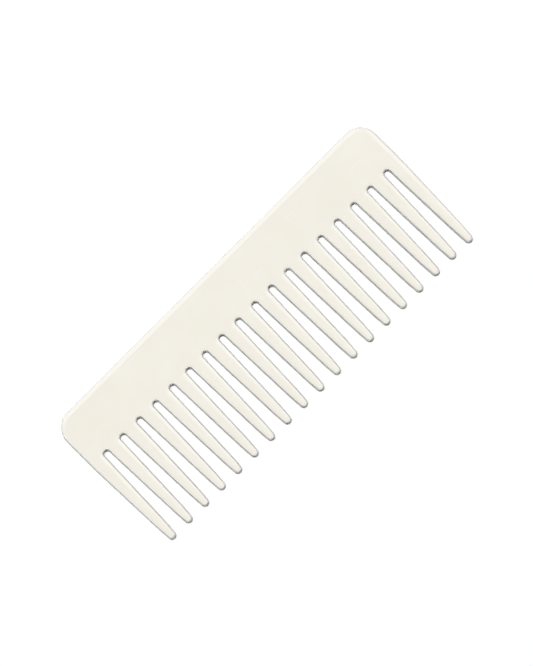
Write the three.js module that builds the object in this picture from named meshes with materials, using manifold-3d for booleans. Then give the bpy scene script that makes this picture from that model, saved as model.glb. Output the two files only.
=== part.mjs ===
// Wide tooth comb: one flat moulding, with a deep spine along its back edge and a row of tapered
// teeth. Millimetres. The comb lies on its flat side with its underside at Z = 0. X runs along
// the comb, +Y points to the back edge and the teeth point to -Y. The origin is under the middle
// of the outline. The spine and the teeth meet face to face on one plane, at the level where the
// round roots of the slots run into the flanks of the teeth.

import * as THREE from 'three';
import { mergeVertices } from 'three/addons/utils/BufferGeometryUtils.js';
import Module from 'manifold-3d';

// ---- driving dimensions ---------------------------------------------------------------------

const toothCount = 19;
const pitch = 8.25; // from tooth to tooth
const slotRootRadius = 1.2; // each slot ends in a half circle
const combWidth = 58.3; // from the back edge to the tips
const toothLength = 37.9; // from the root plane to the tips
const cornerRadius = 7.4; // the two back corners, in plan
const thickness = 4;
const edgeRadius = 1.4; // every edge is rounded over by this much
const tipHalfWidth = 1.5; // where a tooth starts to round off
const drawInLength = 6.8; // before that, the sides draw in faster and faster over this stretch
const drawInRate = 0.0046; // per side, times the square of the way into that stretch
const tipFlat = 0.25; // share of the section that is left as a small flat on the very tip

// ---- worked out -----------------------------------------------------------------------------

const rootHalfWidth = pitch / 2 - slotRootRadius;
const endX = ((toothCount - 1) * pitch) / 2 + rootHalfWidth; // flush with the end teeth
const backY = combWidth / 2;
const tipY = -combWidth / 2;
const rootY = tipY + toothLength; // the plane where spine and teeth meet
const halfThickness = thickness / 2;
const flankLength = toothLength - tipHalfWidth; // a tip is a half circle in plan
const straightLength = flankLength - drawInLength;
const drawnIn = drawInRate * drawInLength ** 2;
const taper = (rootHalfWidth - tipHalfWidth - drawnIn) / flankLength; // of each straight side

// ---- fineness of the round stretches --------------------------------------------------------

const edgeSegments = 4; // per quarter round along an edge
const planSegments = 8; // per arc of the spine's outline
const drawInRings = 3;
const tipRings = 4; // in a rounded tip

// ---- helpers --------------------------------------------------------------------------------

const wasm = await Module();
wasm.setup();

function toManifold(geometry) {
  const bare = geometry.clone();
  bare.deleteAttribute('normal');
  bare.deleteAttribute('uv');
  const merged = mergeVertices(bare);
  return new wasm.Manifold(new wasm.Mesh({
    numProp: 3,
    vertProperties: new Float32Array(merged.attributes.position.array),
    triVerts: new Uint32Array(merged.index.array),
  }));
}

function toGeometry(solid) {
  const mesh = solid.getMesh();
  const geometry = new THREE.BufferGeometry();
  geometry.setAttribute('position', new THREE.BufferAttribute(mesh.vertProperties, 3));
  geometry.setIndex(new THREE.BufferAttribute(mesh.triVerts, 1));
  geometry.computeVertexNormals();
  return geometry;
}

function creamPart(name, geometry) {
  const material = new THREE.MeshStandardMaterial({
    color: 0xf3efe4,
    roughness: 0.35,
    metalness: 0,
  });
  const mesh = new THREE.Mesh(geometry, material);
  mesh.name = name;
  return mesh;
}

// ---- spine ----------------------------------------------------------------------------------

// The outline of the plate behind the teeth. It is drawn past the root plane by excess.
function spineOutline(excess) {
  const drawnY = rootY - excess;
  const cornerX = endX - cornerRadius;
  const cornerY = backY - cornerRadius;
  const outline = new THREE.Shape();
  outline.moveTo(-endX, drawnY);
  for (let slot = 0; slot < toothCount - 1; slot += 1) {
    const slotX = (slot - (toothCount - 2) / 2) * pitch;
    outline.lineTo(slotX - slotRootRadius, drawnY);
    outline.absarc(slotX, rootY, slotRootRadius, Math.PI, 0, true);
    outline.lineTo(slotX + slotRootRadius, drawnY);
  }
  outline.lineTo(endX, drawnY);
  outline.absarc(cornerX, cornerY, cornerRadius, 0, Math.PI / 2);
  outline.absarc(-cornerX, cornerY, cornerRadius, Math.PI / 2, Math.PI);
  outline.closePath();
  return outline;
}

// Every edge of the plate is rounded. The excess is cut off at the root plane, so that the
// rounding of the slots runs straight into the teeth.
function spineGeometry() {
  const excess = 2 * edgeRadius;
  const plate = new THREE.ExtrudeGeometry(spineOutline(excess), {
    depth: thickness - 2 * edgeRadius,
    bevelThickness: edgeRadius,
    bevelSize: edgeRadius,
    bevelOffset: -edgeRadius,
    bevelSegments: edgeSegments,
    curveSegments: planSegments / 2, // an arc gets twice this many segments
  });
  plate.translate(0, 0, edgeRadius);

  const cutter = new THREE.BoxGeometry(2 * endX + excess, 2 * excess, thickness + excess);
  cutter.translate(0, rootY - excess, halfThickness);
  return toGeometry(toManifold(plate).subtract(toManifold(cutter)));
}

// ---- teeth ----------------------------------------------------------------------------------

// A tooth's section at the root plane. It is the plate's own section between two slots.
function rootSection() {
  const side = rootHalfWidth - edgeRadius;
  const top = halfThickness - edgeRadius;
  const section = new THREE.Shape();
  section.absarc(side, top, edgeRadius, 0, Math.PI / 2);
  section.absarc(-side, top, edgeRadius, Math.PI / 2, Math.PI);
  section.absarc(-side, -top, edgeRadius, Math.PI, 1.5 * Math.PI);
  section.absarc(side, -top, edgeRadius, 1.5 * Math.PI, 2 * Math.PI);
  section.closePath();
  return section;
}

// The rings that a tooth is lofted through: how far each is from the root plane, how much
// narrower it is on each side, and its scale, which rounds off the tip.
function toothRings() {
  const rings = [{ distance: 0, narrowing: 0, scale: 1 }];
  for (let ring = 0; ring <= drawInRings; ring += 1) {
    const way = (ring / drawInRings) * drawInLength;
    const distance = straightLength + way;
    rings.push({ distance, narrowing: taper * distance + drawInRate * way ** 2, scale: 1 });
  }
  for (let ring = 1; ring <= tipRings; ring += 1) {
    const angle = ((ring / tipRings) * Math.PI) / 2;
    rings.push({
      distance: flankLength + tipHalfWidth * Math.sin(angle),
      narrowing: rootHalfWidth - tipHalfWidth,
      scale: Math.max(Math.cos(angle), tipFlat),
    });
  }
  return rings;
}

// The section is extruded one step per ring, and each ring is then moved to its place.
function toothGeometry() {
  const rings = toothRings();
  const steps = rings.length - 1;
  const geometry = new THREE.ExtrudeGeometry(rootSection(), {
    depth: steps,
    steps,
    bevelEnabled: false,
    curveSegments: edgeSegments / 2, // an arc gets twice this many segments
  });
  const points = geometry.attributes.position;
  for (let i = 0; i < points.count; i += 1) {
    const ring = rings[Math.round(points.getZ(i))];
    const x = points.getX(i) - Math.sign(points.getX(i)) * ring.narrowing;
    points.setXYZ(i, x * ring.scale, points.getY(i) * ring.scale, ring.distance);
  }
  geometry.rotateX(Math.PI / 2); // the extrusion now runs to -Y
  geometry.computeVertexNormals();
  return geometry;
}

function teeth() {
  const row = new THREE.Group();
  for (let index = 0; index < toothCount; index += 1) {
    const tooth = creamPart(`tooth_${String(index + 1).padStart(2, '0')}`, toothGeometry());
    tooth.position.x = (index - (toothCount - 1) / 2) * pitch;
    row.add(tooth);
  }
  row.position.set(0, rootY, halfThickness);
  return row;
}

// ---- the comb -------------------------------------------------------------------------------

const comb = new THREE.Group();
comb.add(creamPart('spine', spineGeometry()));
comb.add(teeth());

export default comb;
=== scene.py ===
"""Wide tooth comb in cream plastic, seen from straight above on a white studio floor.

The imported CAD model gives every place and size. Each of its nodes, the spine and the teeth, is
replaced by a finer mesh of the same region of the moulding. The pieces share their points and
normals where they meet, so the moulding looks as seamless as it is. Metres.
"""

import itertools
import math
from collections import namedtuple

import bpy
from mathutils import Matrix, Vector


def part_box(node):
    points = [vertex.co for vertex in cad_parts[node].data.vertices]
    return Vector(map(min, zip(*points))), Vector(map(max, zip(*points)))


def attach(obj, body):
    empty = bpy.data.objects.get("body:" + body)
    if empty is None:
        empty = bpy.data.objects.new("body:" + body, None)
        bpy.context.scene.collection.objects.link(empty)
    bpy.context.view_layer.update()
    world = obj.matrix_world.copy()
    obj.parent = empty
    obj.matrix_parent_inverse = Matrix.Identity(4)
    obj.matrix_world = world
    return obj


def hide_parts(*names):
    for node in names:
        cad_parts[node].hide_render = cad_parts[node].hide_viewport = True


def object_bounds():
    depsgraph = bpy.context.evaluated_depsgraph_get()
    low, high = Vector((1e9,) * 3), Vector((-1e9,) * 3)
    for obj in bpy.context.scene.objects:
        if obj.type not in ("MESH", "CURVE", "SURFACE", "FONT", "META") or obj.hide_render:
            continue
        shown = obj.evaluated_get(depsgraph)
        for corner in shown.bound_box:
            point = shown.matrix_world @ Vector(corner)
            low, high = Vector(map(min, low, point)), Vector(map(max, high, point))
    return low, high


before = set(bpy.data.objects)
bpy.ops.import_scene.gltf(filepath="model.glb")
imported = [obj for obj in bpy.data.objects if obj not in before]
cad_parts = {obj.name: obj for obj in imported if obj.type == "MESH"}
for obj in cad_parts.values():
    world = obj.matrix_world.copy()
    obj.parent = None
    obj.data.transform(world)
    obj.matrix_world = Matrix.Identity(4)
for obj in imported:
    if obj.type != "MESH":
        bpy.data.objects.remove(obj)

MM = 0.001

# ---- sizes taken from the frame ---------------------------------------------------------------

comb_low, comb_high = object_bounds()
tooth_names = sorted(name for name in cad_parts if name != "spine")
first_low, first_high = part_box(tooth_names[0])
second_low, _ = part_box(tooth_names[1])

PITCH = second_low.x - first_low.x
END_X = comb_high.x
BACK_Y = comb_high.y
ROOT_Y = first_high.y
TIP_Y = comb_low.y
HALF_THICKNESS = (comb_high.z - comb_low.z) / 2
ROOT_HALF_WIDTH = (first_high.x - first_low.x) / 2
SLOT_ROOT_RADIUS = PITCH / 2 - ROOT_HALF_WIDTH
SLOT_COUNT = len(tooth_names) - 1

# ---- sizes of the rounding, which the frame holds only as a shape ------------------------------

CORNER_RADIUS = 7.4 * MM  # the two back corners, in plan
TIP_HALF_WIDTH = 1.5 * MM  # where a tooth starts to round off
FLANK_EASE = 1.5 * MM  # how softly a slot wall turns into a tapering flank
DRAW_IN_LENGTH = 6.8 * MM  # the last stretch of a flank, where it draws in faster and faster
DRAW_IN_RATE = 0.0046 / MM  # times the square of the way into that stretch

# Every wall leans in from the parting line by its draft, which lets the moulding out of the mould.
# At its top it turns over through a shoulder, part of an ellipse with this width and height. A
# bevel that grows shallower leads on to a narrow facet, which meets the flat at a faint crease.
# The reach is how far in from the outline all that goes, and the bevel takes what is left of it.
Edge = namedtuple("Edge", "reach facet width height draft")
OUTER_REACH = 1.70 * MM
BACK_EDGE = Edge(OUTER_REACH, 1.10 * MM, 0.30 * MM, 0.30 * MM, math.tan(math.radians(4.5)))
END_EDGE = Edge(OUTER_REACH, 0.75 * MM, 0.30 * MM, 0.28 * MM, math.tan(math.radians(10.5)))
SLOT_EDGE = Edge(1.40 * MM, 0.55 * MM, 0.30 * MM, 0.28 * MM, math.tan(math.radians(8.5)))
TIP_EDGE = Edge(1.10 * MM, 0.40 * MM, 0.25 * MM, 0.25 * MM, math.tan(math.radians(12.5)))
FACET_SLOPE = math.tan(math.radians(5.5))
BEVEL_SLOPE = math.tan(math.radians(9))  # where it meets the shoulder
SEAM_HEIGHT = 0.04 * MM  # the faint line that the two mould halves leave round the edge
SEAM_HALF_WIDTH = 0.13 * MM

FLANK = (ROOT_Y - TIP_Y) - TIP_HALF_WIDTH
DRAWN_IN = DRAW_IN_RATE * DRAW_IN_LENGTH ** 2
TAPER = ((ROOT_HALF_WIDTH - TIP_HALF_WIDTH - DRAWN_IN)
         / (math.hypot(FLANK, FLANK_EASE) - FLANK_EASE))

# ---- fineness ---------------------------------------------------------------------------------

SHOULDER_STEPS = 8
SEAM_STEPS = 2
SLOT_STEPS = 20  # per slot root
CORNER_STEPS = 24  # per back corner
FLAT_STEPS = 4  # across the flat of a tooth
PLATE_ROWS = 8  # from the tooth roots to the back edge
FLANK_STEPS = 24
FLANK_CROWDING = 1.2  # above 1, the rings of a flank lie closer together near the root
TIP_STEPS = 12  # from the side of a tooth to its very tip
WELD_STEP = 0.001 * MM  # points less than about this apart are one


# ---- meshes -----------------------------------------------------------------------------------

class Shell:
    """A mesh built face by face. A corner is a (point, normal) pair, and each corner keeps its
    own normal, so that flats stay flat and rounds smooth."""

    def __init__(self):
        self.points = []
        self.place = {}
        self.faces = []
        self.normals = []

    def weld(self, point):
        """The index of this point, or of an earlier one in the same place."""
        steps = [c / WELD_STEP for c in point]
        index = self.place.get(tuple(round(s) for s in steps))
        if index is None:
            index = len(self.points)
            self.points.append(point)
            for cell in itertools.product(*((math.floor(s), math.ceil(s)) for s in steps)):
                self.place.setdefault(cell, index)
        return index

    def face(self, corners):
        """Adds a face, facing the way its normals point and without corners that coincide."""
        kept = []
        for point, normal in corners:
            index = self.weld(point)
            if index not in [k[0] for k in kept]:
                kept.append((index, normal))
        if len(kept) < 3:
            return
        across = Vector()
        for (a, _), (b, _) in zip(kept, kept[1:] + kept[:1]):
            across += self.points[a].cross(self.points[b])
        if across.dot(sum((normal for _, normal in kept), Vector())) < 0:
            kept.reverse()
        self.faces.append([index for index, _ in kept])
        self.normals.extend(normal for _, normal in kept)

    def grid(self, rows):
        """Adds the quads between neighbouring rows of corners."""
        for low, high in zip(rows, rows[1:]):
            for i in range(len(low) - 1):
                self.face([low[i], low[i + 1], high[i + 1], high[i]])

    def build(self, name):
        mesh = bpy.data.meshes.new(name)
        mesh.from_pydata(self.points, [], self.faces)
        mesh.shade_smooth()
        mesh.normals_split_custom_set([tuple(n.normalized()) for n in self.normals])
        piece = bpy.data.objects.new(name, mesh)
        bpy.context.collection.objects.link(piece)
        return piece


def spread(start, end, steps):
    return [start + (end - start) * i / steps for i in range(steps + 1)]


# ---- edges ------------------------------------------------------------------------------------

def seam_rows(draft):
    """The last of the upper rows: the seam on a wall with this draft, short of its crest."""
    rows = []
    for step in range(SEAM_STEPS):
        share = 1 - step / SEAM_STEPS  # from 1 at the foot of the seam to 0 at its crest
        inset = SEAM_HEIGHT * (1 - math.cos(math.pi * share)) / 2
        slope = SEAM_HEIGHT * math.pi / 2 * math.sin(math.pi * share) / SEAM_HALF_WIDTH
        level = SEAM_HALF_WIDTH * share
        rows.append((inset + level * draft, level, 1, slope + draft))
    return rows


def upper_rows(edge):
    """The rows of edge_profile from the flat of the top down to just short of the crest of the
    seam. Their normals may have any length."""
    top = math.atan2(edge.height, edge.width * BEVEL_SLOPE)  # where the shoulder meets the bevel
    foot = math.atan(edge.height / edge.width * edge.draft)  # and where it meets the wall
    facet_drop = edge.facet * FACET_SLOPE
    shoulder_width = edge.width * (math.cos(foot) - math.cos(top))
    shoulder_drop = edge.height * (math.sin(top) - math.sin(foot))
    bevel_slope = (FACET_SLOPE + BEVEL_SLOPE) / 2
    bevel = ((edge.reach - edge.facet - shoulder_width - SEAM_HEIGHT
              - (HALF_THICKNESS - facet_drop - shoulder_drop) * edge.draft)
             / (1 - bevel_slope * edge.draft))
    middle = HALF_THICKNESS - facet_drop - bevel * bevel_slope - edge.height * math.sin(top)
    wall_inset = SEAM_HEIGHT + (middle + edge.height * math.sin(foot)) * edge.draft
    rows = [(edge.reach, HALF_THICKNESS, FACET_SLOPE, 1),
            (edge.reach - edge.facet, HALF_THICKNESS - facet_drop, FACET_SLOPE, 1)]
    for step in range(SHOULDER_STEPS + 1):
        turn = top + (foot - top) * step / SHOULDER_STEPS
        rows.append((wall_inset + edge.width * (math.cos(foot) - math.cos(turn)),
                     middle + edge.height * math.sin(turn),
                     edge.height * math.cos(turn), edge.width * math.sin(turn)))
    return rows + seam_rows(edge.draft)


def edge_profile(edge):
    """The edge from the flat of the top down to that of the underside, as rows of: how far in
    from the outline, height above mid thickness, and the normal's parts out and up."""
    unit = [(inset, height, out / math.hypot(out, up), up / math.hypot(out, up))
            for inset, height, out, up in upper_rows(edge)]
    lower = [(inset, -height, out, -up) for inset, height, out, up in reversed(unit)]
    return unit + [(0, 0, 1, 0)] + lower


def blend(first, second, share):
    """The edge this share of the way from the first to the second."""
    return Edge(*(a + (b - a) * share for a, b in zip(first, second)))


def section(left, right, left_edge, right_edge, flat_xs):
    """The loop round a tooth's section from left to right, as rows of: x, height above mid
    thickness, and the normal's parts along x and up. flat_xs are the points on each flat."""
    loop = [(x, HALF_THICKNESS, 0, 1) for x in flat_xs]
    loop += [(right - inset, height, out, up)
             for inset, height, out, up in edge_profile(right_edge)]
    loop += [(x, -HALF_THICKNESS, 0, -1) for x in reversed(flat_xs)]
    loop += [(left + inset, height, -out, up)
             for inset, height, out, up in reversed(edge_profile(left_edge))]
    return loop


# ---- teeth ------------------------------------------------------------------------------------

def tooth_centre(index):
    return (index - SLOT_COUNT / 2) * PITCH


def tooth_edges(index, share=0.0):
    """A tooth's left and right edge at this share of its flank. They start like the spine's edge
    next to them and turn into a tip's edge. The end teeth carry on the ends of the spine."""
    starts = (END_EDGE if index == 0 else SLOT_EDGE,
              END_EDGE if index == SLOT_COUNT else SLOT_EDGE)
    return [blend(start, TIP_EDGE, share) for start in starts]


def tooth_flat(index, half_width, share=0.0):
    """The x of every point across the flat of a tooth."""
    left_edge, right_edge = tooth_edges(index, share)
    centre = tooth_centre(index)
    return spread(centre - half_width + left_edge.reach, centre + half_width - right_edge.reach,
                  FLAT_STEPS)


def flank_ring(index, distance):
    """The corners round a tooth at this distance from its root, on the tapering flank."""
    share = distance / FLANK
    centre = tooth_centre(index)
    way_in = max(0, distance - (FLANK - DRAW_IN_LENGTH))
    eased = math.hypot(distance, FLANK_EASE)
    half_width = ROOT_HALF_WIDTH - TAPER * (eased - FLANK_EASE) - DRAW_IN_RATE * way_in ** 2
    taper = TAPER * distance / eased + 2 * DRAW_IN_RATE * way_in
    loop = section(centre - half_width, centre + half_width, *tooth_edges(index, share),
                   tooth_flat(index, half_width, share))
    return [(Vector((x, ROOT_Y - distance, HALF_THICKNESS + height)),
             Vector((along, -abs(along) * taper, up)).normalized())
            for x, height, along, up in loop]


def tip_ring(centre, flank_end, angle):
    """The last ring of the flank, with both sides swung round towards the very tip."""
    ring = []
    for point, normal in flank_end:
        reach = point.x - centre
        spot = Vector((centre + reach * math.cos(angle),
                       point.y - abs(reach) * math.sin(angle), point.z))
        out = math.hypot(normal.x, normal.y)
        turned = Vector((math.copysign(out, normal.x) * math.cos(angle),
                         -out * math.sin(angle), normal.z))
        ring.append((spot, turned))
    return ring


def make_tooth(index, name):
    """A tooth lofted through its rings, and closed by a face on the root plane."""
    rings = [flank_ring(index, FLANK * (step / FLANK_STEPS) ** FLANK_CROWDING)
             for step in range(FLANK_STEPS + 1)]
    flank_end = rings[-1]
    for step in range(1, TIP_STEPS + 1):
        rings.append(tip_ring(tooth_centre(index), flank_end, math.pi / 2 * step / TIP_STEPS))
    shell = Shell()
    shell.grid([ring + ring[:1] for ring in rings])
    shell.face([(point, Vector((0, 1, 0))) for point, _ in rings[0]])
    return shell.build("moulded_" + name)


# ---- spine ------------------------------------------------------------------------------------

SLOT_REACH = SLOT_ROOT_RADIUS + SLOT_EDGE.reach  # from a slot's centre out to the flat
CORNER_REACH = CORNER_RADIUS - OUTER_REACH  # from a corner's centre out to the flat
CORNER_X = END_X - CORNER_RADIUS
CORNER_Y = BACK_Y - CORNER_RADIUS
CLOSE = 0.05 * MM  # a back corner's columns of points are left out nearer than this to others
WHOLE = 0.99999  # a share past this counts as 1, whatever the rounding errors


def slot_centre(slot):
    return (slot - (SLOT_COUNT - 1) / 2) * PITCH


def slot_columns(slot):
    """The x of every point round the root of a slot."""
    return [slot_centre(slot) - SLOT_REACH * math.cos(math.pi * step / SLOT_STEPS)
            for step in range(SLOT_STEPS + 1)]


def spine_columns():
    """The x of every line of points across the spine's flat. They follow from the flats of the
    teeth, the roots of the slots and the two back corners."""
    columns = []
    for index in range(SLOT_COUNT + 1):
        columns += tooth_flat(index, ROOT_HALF_WIDTH)
    for slot in range(SLOT_COUNT):
        columns += slot_columns(slot)[1:-1]  # its ends are on the flats of the teeth
    for step in range(CORNER_STEPS + 1):
        x = CORNER_X + CORNER_REACH * math.cos(math.pi / 2 * step / CORNER_STEPS)
        for side in (-x, x):
            if all(abs(side - other) > CLOSE for other in columns):
                columns.append(side)
    return sorted(columns)


def slot_at(x):
    """The slot whose root is in line with x, or None where x meets the flat of a tooth."""
    slot = round(x / PITCH + (SLOT_COUNT - 1) / 2)
    if 0 <= slot < SLOT_COUNT and abs(x - slot_centre(slot)) <= SLOT_REACH + WELD_STEP:
        return slot
    return None


def root_side(x):
    """Where the spine's flat starts at x: on the root plane or round the root of a slot."""
    slot = slot_at(x)
    if slot is None:
        return ROOT_Y
    return ROOT_Y + math.sqrt(max(0, SLOT_REACH ** 2 - (x - slot_centre(slot)) ** 2))


def back_direction(x):
    """The outline's normal at the back edge or a back corner, in line with x on the flat."""
    past = (abs(x) - CORNER_X) / CORNER_REACH
    if past <= 0:
        return Vector((0, 1, 0))
    if past > WHOLE:
        return Vector((math.copysign(1, x), 0, 0))
    return Vector((math.copysign(past, x), math.sqrt(1 - past ** 2), 0))


def back_side(x):
    """Where the spine's flat ends at x, short of the rounding of the back edge."""
    return CORNER_Y + CORNER_REACH * back_direction(x).y


def plate_row(columns, share, side):
    """The corners across a flat, this share of the way from the roots to the back edge. The side
    is 1 for the top and -1 for the underside."""
    normal = Vector((0, 0, side))
    z = HALF_THICKNESS * (1 + side)
    return [(Vector((x, root_side(x) + (back_side(x) - root_side(x)) * share, z)), normal)
            for x in columns]


def wall_station(point, outward, edge):
    """The corners down an edge at one point of the outline."""
    column = []
    for inset, height, out, up in edge_profile(edge):
        spot = point - outward * inset
        spot.z = HALF_THICKNESS + height
        column.append((spot, outward * out + Vector((0, 0, up))))
    return column


def end_wall(columns, shares, side):
    """The wall of the left (-1) or right (1) end, from the root plane to the back corner."""
    corner_y = back_side(columns[0])
    return [wall_station(Vector((side * END_X, ROOT_Y + (corner_y - ROOT_Y) * share, 0)),
                         Vector((side, 0, 0)), END_EDGE)
            for share in shares]


def back_wall(columns):
    """The wall along the back edge and round both corners, where it turns into that of the ends."""
    wall = []
    for x in columns:
        outward = back_direction(x)
        edge = blend(BACK_EDGE, END_EDGE, math.asin(abs(outward.x)) / (math.pi / 2))
        centre = Vector((max(-CORNER_X, min(CORNER_X, x)), CORNER_Y, 0))
        wall.append(wall_station(centre + outward * CORNER_RADIUS, outward, edge))
    return wall


def slot_wall(columns, slot):
    """The wall round the root of a slot."""
    centre = Vector((slot_centre(slot), ROOT_Y, 0))
    wall = []
    for x in [x for x in columns if slot_at(x) == slot]:
        across = max(-1, min(1, (x - centre.x) / SLOT_REACH))
        away = Vector((across, math.sqrt(1 - across ** 2), 0))
        wall.append(wall_station(centre + away * SLOT_ROOT_RADIUS, -away, SLOT_EDGE))
    return wall


def root_face(columns, index):
    """The face on the root plane that a tooth meets."""
    centre = tooth_centre(index)
    ends = tooth_flat(index, ROOT_HALF_WIDTH)
    flat_xs = [x for x in columns if ends[0] - CLOSE / 2 < x < ends[-1] + CLOSE / 2]
    loop = section(centre - ROOT_HALF_WIDTH, centre + ROOT_HALF_WIDTH, *tooth_edges(index),
                   flat_xs)
    return [(Vector((x, ROOT_Y, HALF_THICKNESS + height)), Vector((0, -1, 0)))
            for x, height, _, _ in loop]


def make_spine():
    """The two flats, then every wall, then the faces that meet the teeth."""
    shell = Shell()
    columns = spine_columns()
    shares = spread(0, 1, PLATE_ROWS)
    for side in (1, -1):
        shell.grid([plate_row(columns, share, side) for share in shares])
    for side in (-1, 1):
        shell.grid(end_wall(columns, shares, side))
    shell.grid(back_wall(columns))
    for slot in range(SLOT_COUNT):
        shell.grid(slot_wall(columns, slot))
    for index in range(SLOT_COUNT + 1):
        shell.face(root_face(columns, index))
    return shell.build("moulded_spine")


# ---- material ---------------------------------------------------------------------------------

PALE_CREAM = (0.808, 0.780, 0.701)
DEEP_CREAM = (0.793, 0.764, 0.683)
PAINTED_HIGHLIGHT_CREAM = (0.800, 0.778, 0.720)  # painted highlight: whiter and less yellow on the facets and bevels, standing in for the softboxes' sheen
PAINTED_SHADE_CREAM = (0.53, 0.515, 0.475)  # painted shade: darker and greyer on the walls round every edge, standing in for their shade and the shadow beside them
PAINTED_HIGHLIGHT_DEPTHS = (0, 0.03 * MM)  # below the flat, from none of the painted highlight to all of it
# below the flat, from none of the painted shade to all of it
PAINTED_SHADE_DEPTHS = (0.13 * MM, 0.32 * MM)

# Noise scales are in features per metre. A range gives the two noise values between which the
# noise goes from one state to the other.
CLOUD_SCALE = 90  # of the paler and deeper cream
CLOUD_RANGE = (0.35, 0.65)
PATCH_SCALE = 220  # of the glossier and duller patches
PATCH_RANGE = (0.3, 0.7)
PATCH_ROUGHNESS = (0.13, 0.19)
SCUFF_RANGE = (0.66, 0.74)
SCUFF_SETS = ((0.5, 60, 3200), (-0.25, 90, 4200))  # turn, features along the marks and across
SCUFF_ROUGHNESS = 0.12  # added where there is a scuff
SCUFF_DEPTH = 0.001 * MM
WAVE_SCALE = 150  # of the waves that the plastic's flow leaves
WAVE_HEIGHT = 0.01 * MM
GRAIN_SCALE = 3500
GRAIN_HEIGHT = 0.001 * MM
PLASTIC_IOR = 1.5
FLOOR_WHITE = (0.90, 0.90, 0.90, 1)
FLOOR_ROUGHNESS = 0.9

# A mix node has a pair of inputs and an output for every kind of data. These are for colours.
MIX_INPUTS = (6, 7)
MIX_OUTPUT = 2


def node(tree, kind, **settings):
    made = tree.nodes.new(kind)
    for name, value in settings.items():
        setattr(made, name, value)
    return made


def noise(tree, coords, scale, detail=2.0, stretch=None, rotation=0.0):
    """A noise texture on the object's own coordinates. A stretch scales each of their axes
    first. The rotation comes after it, so it leads to another part of the pattern but leaves
    the direction of long marks as it is."""
    if stretch is not None:
        mapping = node(tree, "ShaderNodeMapping")
        mapping.inputs["Rotation"].default_value = (0, 0, rotation)
        mapping.inputs["Scale"].default_value = stretch
        tree.links.new(coords, mapping.inputs["Vector"])
        coords = mapping.outputs["Vector"]
    made = node(tree, "ShaderNodeTexNoise")
    made.inputs["Scale"].default_value = scale
    made.inputs["Detail"].default_value = detail
    tree.links.new(coords, made.inputs["Vector"])
    return made.outputs["Fac"]


def map_range(tree, value, span, to_span=(0, 1)):
    """Carries the span of values, from first to last, over to the other span."""
    made = node(tree, "ShaderNodeMapRange")
    for name, number in zip(("From Min", "From Max", "To Min", "To Max"), (*span, *to_span)):
        made.inputs[name].default_value = number
    tree.links.new(value, made.inputs["Value"])
    return made.outputs["Result"]


def mix_colour(tree, factor, first, second):
    made = node(tree, "ShaderNodeMix", data_type="RGBA")
    tree.links.new(factor, made.inputs["Factor"])
    for place, colour in zip(MIX_INPUTS, (first, second)):
        if isinstance(colour, tuple):
            made.inputs[place].default_value = (*colour, 1)
        else:
            tree.links.new(colour, made.inputs[place])
    return made.outputs[MIX_OUTPUT]


def bump(tree, height, distance, below=None):
    made = node(tree, "ShaderNodeBump")
    made.inputs["Distance"].default_value = distance
    tree.links.new(height, made.inputs["Height"])
    if below is not None:
        tree.links.new(below, made.inputs["Normal"])
    return made.outputs["Normal"]


def depth_share(tree, coords, depths):
    """From 0 at the first depth below the nearest flat to 1 at the second."""
    split = node(tree, "ShaderNodeSeparateXYZ")
    tree.links.new(coords, split.inputs["Vector"])
    level = node(tree, "ShaderNodeMath", operation="SUBTRACT")
    tree.links.new(split.outputs["Z"], level.inputs[0])
    level.inputs[1].default_value = HALF_THICKNESS
    distance = node(tree, "ShaderNodeMath", operation="ABSOLUTE")
    tree.links.new(level.outputs[0], distance.inputs[0])
    start, end = depths
    return map_range(tree, distance.outputs[0], (HALF_THICKNESS - end, HALF_THICKNESS - start),
                     (1, 0))


def scuffs(tree, coords):
    """Two sets of hairline rubbing marks along the comb, 1 where there is one."""
    either = node(tree, "ShaderNodeMath", operation="MAXIMUM")
    for (turn, along, across), socket in zip(SCUFF_SETS, either.inputs):
        drawn = noise(tree, coords, 1, detail=1, stretch=(along, across, along), rotation=turn)
        tree.links.new(map_range(tree, drawn, SCUFF_RANGE), socket)
    return either.outputs[0]


def cream_colour(tree, coords):
    """Slightly cloudy cream, with a painted highlight over the facets and painted shade over the
    walls.
    """
    cloud = map_range(tree, noise(tree, coords, CLOUD_SCALE, detail=3), CLOUD_RANGE)
    colour = mix_colour(tree, cloud, DEEP_CREAM, PALE_CREAM)
    # painted highlight over the facets and bevels near every edge
    colour = mix_colour(tree, depth_share(tree, coords, PAINTED_HIGHLIGHT_DEPTHS), colour, PAINTED_HIGHLIGHT_CREAM)
    # painted shade over the walls round every edge
    return mix_colour(tree, depth_share(tree, coords, PAINTED_SHADE_DEPTHS), colour, PAINTED_SHADE_CREAM)


def satin_roughness(tree, coords, marks):
    """Patches of slightly different gloss, duller where there are scuffs."""
    patches = map_range(tree, noise(tree, coords, PATCH_SCALE, detail=4), PATCH_RANGE,
                        PATCH_ROUGHNESS)
    dulled = node(tree, "ShaderNodeMath", operation="MULTIPLY_ADD")
    tree.links.new(marks, dulled.inputs[0])
    dulled.inputs[1].default_value = SCUFF_ROUGHNESS
    tree.links.new(patches, dulled.inputs[2])
    return dulled.outputs[0]


def cream_plastic():
    """Injection moulded cream plastic with a satin gloss, lightly scuffed by use."""
    material = bpy.data.materials.new("cream_plastic")
    material.use_nodes = True
    tree = material.node_tree
    shader = tree.nodes["Principled BSDF"]
    coords = node(tree, "ShaderNodeTexCoord").outputs["Object"]
    marks = scuffs(tree, coords)
    waves = bump(tree, noise(tree, coords, WAVE_SCALE), WAVE_HEIGHT)
    grain = bump(tree, noise(tree, coords, GRAIN_SCALE), GRAIN_HEIGHT, below=waves)
    scratched = bump(tree, marks, -SCUFF_DEPTH, below=grain)
    tree.links.new(cream_colour(tree, coords), shader.inputs["Base Color"])
    tree.links.new(satin_roughness(tree, coords, marks), shader.inputs["Roughness"])
    tree.links.new(scratched, shader.inputs["Normal"])
    shader.inputs["IOR"].default_value = PLASTIC_IOR
    return material


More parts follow.
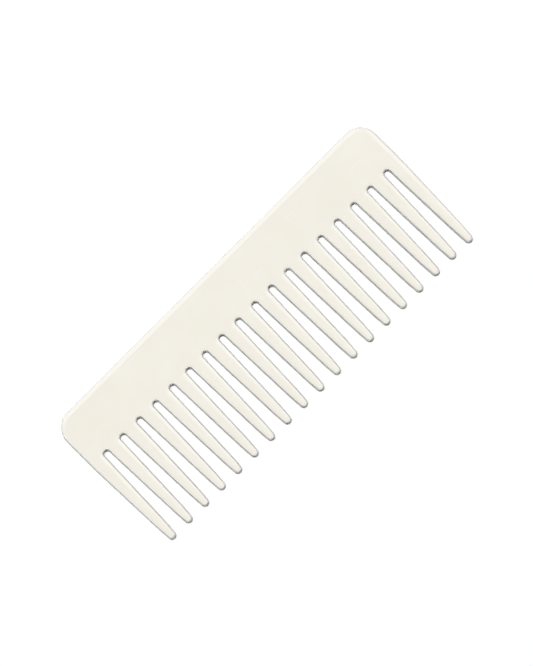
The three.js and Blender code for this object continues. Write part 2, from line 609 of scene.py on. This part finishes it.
def floor_material():
    """Matt white, without any gloss of its own."""
    material = bpy.data.materials.new("white_floor")
    material.use_nodes = True
    shader = material.node_tree.nodes["Principled BSDF"]
    shader.inputs["Base Color"].default_value = FLOOR_WHITE
    shader.inputs["Roughness"].default_value = FLOOR_ROUGHNESS
    shader.inputs["Specular IOR Level"].default_value = 0.0
    return material


# ---- studio -----------------------------------------------------------------------------------

FLOOR_RADIUS = 4.0  # of its flat part, in metres, like the other sizes of the studio
FLOOR_BEND = 1.5  # the radius of the bend between the floor and the wall
WALL_TOP = 1.6
FLOOR_TURNS = 96  # points round the floor
BEND_STEPS = 12

FILL = 0.02  # radiance of the white surroundings
KEY_SPREAD = math.radians(4)  # how wide a key light looks, which softens its shadows

LENS = 400  # in millimetres, like the sensor. So long a lens shows both ends of the comb alike
SENSOR_WIDTH = 36
PICTURE_HEIGHT = 235.58 * MM  # at the top of the comb
PICTURE_CENTRE = (-0.06 * MM, -0.97 * MM)
PICTURE_TURN = math.radians(-45)
FAR_CLIP = 10  # past everything in the studio


def make_floor():
    """A round white floor that curves up into a wall all round, so no horizon shows. Its normals
    all point up, which keeps the bend and the wall as light as the flat."""
    profile = [(FLOOR_RADIUS / 2, 0.0), (FLOOR_RADIUS, 0.0)]
    for step in range(1, BEND_STEPS + 1):
        angle = math.pi / 2 * step / BEND_STEPS
        profile.append((FLOOR_RADIUS + FLOOR_BEND * math.sin(angle),
                        FLOOR_BEND * (1 - math.cos(angle))))
    profile.append((FLOOR_RADIUS + FLOOR_BEND, WALL_TOP))
    turns = [2 * math.pi * turn / FLOOR_TURNS for turn in range(FLOOR_TURNS)] + [0.0]
    up = Vector((0, 0, 1))
    rings = [[(Vector((radius * math.cos(turn), radius * math.sin(turn), height)), up)
              for turn in turns] for radius, height in profile]
    shell = Shell()
    shell.face(rings[0][:-1])
    shell.grid(rings)
    floor = shell.build("studio_floor")
    floor.data.materials.append(floor_material())


def add_object(name, data):
    added = bpy.data.objects.new(name, data)
    bpy.context.collection.objects.link(added)
    return added


def direction(tilt, turn):
    """A unit vector this far off the vertical, turned round from +X. Both are in degrees."""
    tilt, turn = math.radians(tilt), math.radians(turn)
    return Vector((math.sin(tilt) * math.cos(turn), math.sin(tilt) * math.sin(turn),
                   math.cos(tilt)))


def aim(light, place):
    """Puts a light there and turns it to the comb."""
    light.location = place
    light.rotation_mode = "QUATERNION"
    light.rotation_quaternion = (Vector() - place).to_track_quat("-Z", "Y")


def make_softbox(name, tilt, turn, distance, width, height, radiance):
    """A rectangular light that faces the comb. Its radiance is that of its white front."""
    lamp = bpy.data.lights.new(name, "AREA")
    lamp.shape = "RECTANGLE"
    lamp.size = width
    lamp.size_y = height
    lamp.energy = radiance * math.pi * width * height
    aim(add_object(name, lamp), direction(tilt, turn) * distance)


def make_key(name, tilt, turn, share):
    """A distant light that adds this share to the radiance of a white face that lies flat."""
    lamp = bpy.data.lights.new(name, "SUN")
    lamp.energy = share * math.pi / math.cos(math.radians(tilt))
    lamp.angle = KEY_SPREAD
    key = add_object(name, lamp)
    key.visible_glossy = False  # the softboxes make the highlights
    aim(key, direction(tilt, turn))


def make_surroundings():
    """A weak, even light from all round."""
    world = bpy.data.worlds.new("soft_fill")
    world.use_nodes = True
    background = world.node_tree.nodes["Background"]
    background.inputs["Color"].default_value = (1, 1, 1, 1)
    background.inputs["Strength"].default_value = FILL
    bpy.context.scene.world = world


def make_lights():
    """Two keys light the comb from the back. One softbox shows in the facet along the back edge
    and the other, far off, in the facets on the right of the teeth."""
    make_key("key_right", tilt=14, turn=60, share=0.79)
    make_key("key_left", tilt=14, turn=120, share=0.13)
    make_softbox("back_softbox", tilt=26, turn=90, distance=1.2, width=0.5, height=0.80,
                 radiance=1.85)
    make_softbox("right_softbox", tilt=10.7, turn=0, distance=4.0, width=0.6, height=0.58,
                 radiance=3.9)


def make_camera():
    """Looks straight down, turned so that the comb lies across the picture at 45 degrees."""
    camera = bpy.data.cameras.new("camera")
    camera.lens = LENS
    camera.sensor_width = SENSOR_WIDTH
    camera.clip_end = FAR_CLIP
    camera_object = add_object("camera", camera)
    bpy.context.scene.camera = camera_object
    distance = PICTURE_HEIGHT * LENS / SENSOR_WIDTH
    camera_object.rotation_euler = (0, 0, PICTURE_TURN)
    camera_object.location = (*PICTURE_CENTRE, 2 * HALF_THICKNESS + distance)


# ---- the comb ---------------------------------------------------------------------------------

plastic = cream_plastic()
pieces = {"spine": make_spine()}
for tooth_index, tooth_name in enumerate(tooth_names):
    pieces[tooth_name] = make_tooth(tooth_index, tooth_name)
for node_name, piece in pieces.items():
    piece.data.materials.append(plastic)
    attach(piece, "root")
    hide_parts(node_name)

make_floor()
make_surroundings()
make_lights()
make_camera()
bpy.context.scene.view_settings.view_transform = "Standard"
